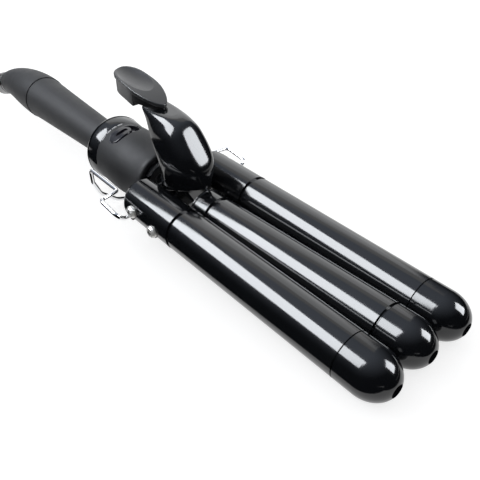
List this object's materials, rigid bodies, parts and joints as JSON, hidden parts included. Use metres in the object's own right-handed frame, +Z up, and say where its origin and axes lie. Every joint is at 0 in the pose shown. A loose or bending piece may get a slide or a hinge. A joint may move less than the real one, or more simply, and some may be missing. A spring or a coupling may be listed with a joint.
{
  "type": "hair waver",
  "caption": "Waving iron: fixed outer barrels and a sprung middle barrel on a thumb lever, with a wire stand and a swivel cord.",
  "frame": {"origin": "on the table, at the middle of the footprint of the tool without its cord", "axes": "+X forwards along the barrels to the tips, +Y to the left as held, +Z up"},
  "size_m": [0.6269, 0.16, 0.0878],
  "materials": {
    "barrel_coat": "gloss black ceramic coat",
    "gloss_black": "gloss heat-proof moulding",
    "soft_grey": "soft-touch coat",
    "pad_grey": "satin",
    "bezel_grey": "satin",
    "chrome": "polished",
    "steel": "plated",
    "black_screw": "black oxide",
    "cast_aluminium": "extruded",
    "heater_ceramic": "fired",
    "core_grey": "moulded",
    "board_green": "solder mask",
    "fuse_can": "drawn",
    "lamp_red": "clear red",
    "cord_black": "smooth flexible PVC"
  },
  "bodies": {
    "handle": {"left_barrel": "barrel_coat", "right_barrel": "barrel_coat", "left_ring": "gloss_black", "right_ring": "gloss_black", "left_tip_cap": "gloss_black", "right_tip_cap": "gloss_black", "left_cap_screw": "steel", "right_cap_screw": "steel", "left_heat_spreader": "cast_aluminium", "right_heat_spreader": "cast_aluminium", "left_heater": "heater_ceramic", "right_heater": "heater_ceramic", "left_holder": "gloss_black", "right_holder": "gloss_black", "holder_screws": "chrome", "fork": "gloss_black", "fork_screws": "black_screw", "hinge_pin": "steel", "clamp_spring": "steel", "front_housing": "soft_grey", "switch_bezel": "bezel_grey", "lamp_lens": "lamp_red", "front_plate": "gloss_black", "trim_ring": "chrome", "core_tube": "core_grey", "control_board": "board_green", "slide_switch": "core_grey", "thermal_fuse": "fuse_can", "terminal_block": "core_grey", "collar": "gloss_black", "grip": "soft_grey", "rear_cap": "soft_grey", "cord": "cord_black", "cord_coil": "cord_black", "plug": "cord_black", "plug_pins": "chrome"},
    "clamp": {"middle_barrel": "barrel_coat", "middle_ring": "gloss_black", "middle_tip_cap": "gloss_black", "middle_cap_screw": "steel", "middle_heat_spreader": "cast_aluminium", "middle_heater": "heater_ceramic", "middle_sleeve": "gloss_black", "clamp_arm": "gloss_black", "lever_shell": "gloss_black", "lever_screws": "steel", "pad_base": "pad_grey", "thumb_pad": "pad_grey"},
    "switch": {"slider_knob": "pad_grey"},
    "stand": {"wire_stand": "chrome"},
    "swivel": {"swivel_sleeve": "gloss_black", "swivel_clip": "steel", "strain_relief": "cord_black"}
  },
  "joints": [
    {"name": "clamp_hinge", "type": "hinge", "parent": "handle", "child": "clamp", "pos_m": [0.05294, 0, 0.02264], "axis": [0, -1, 0], "range_deg": [0, 15], "stiffness_Nm_per_rad": 1.5, "springref_deg": -17.19, "deforming": ["clamp_spring"]},
    {"name": "switch_slide", "type": "hinge", "parent": "handle", "child": "switch", "pos_m": [0.00841, 0, 0.02527], "axis": [-0.9969, 0, 0.0791], "range_deg": [0, 17]},
    {"name": "stand_hinge", "type": "hinge", "parent": "handle", "child": "stand", "pos_m": [0.06589, 0, 0.02141], "axis": [0, -1, 0], "range_deg": [0, 100]},
    {"name": "cord_swivel", "type": "hinge", "parent": "handle", "child": "swivel", "pos_m": [-0.18451, 0, 0.03266], "axis": [-0.9638, 0, -0.2666], "continuous": true}
  ]
}
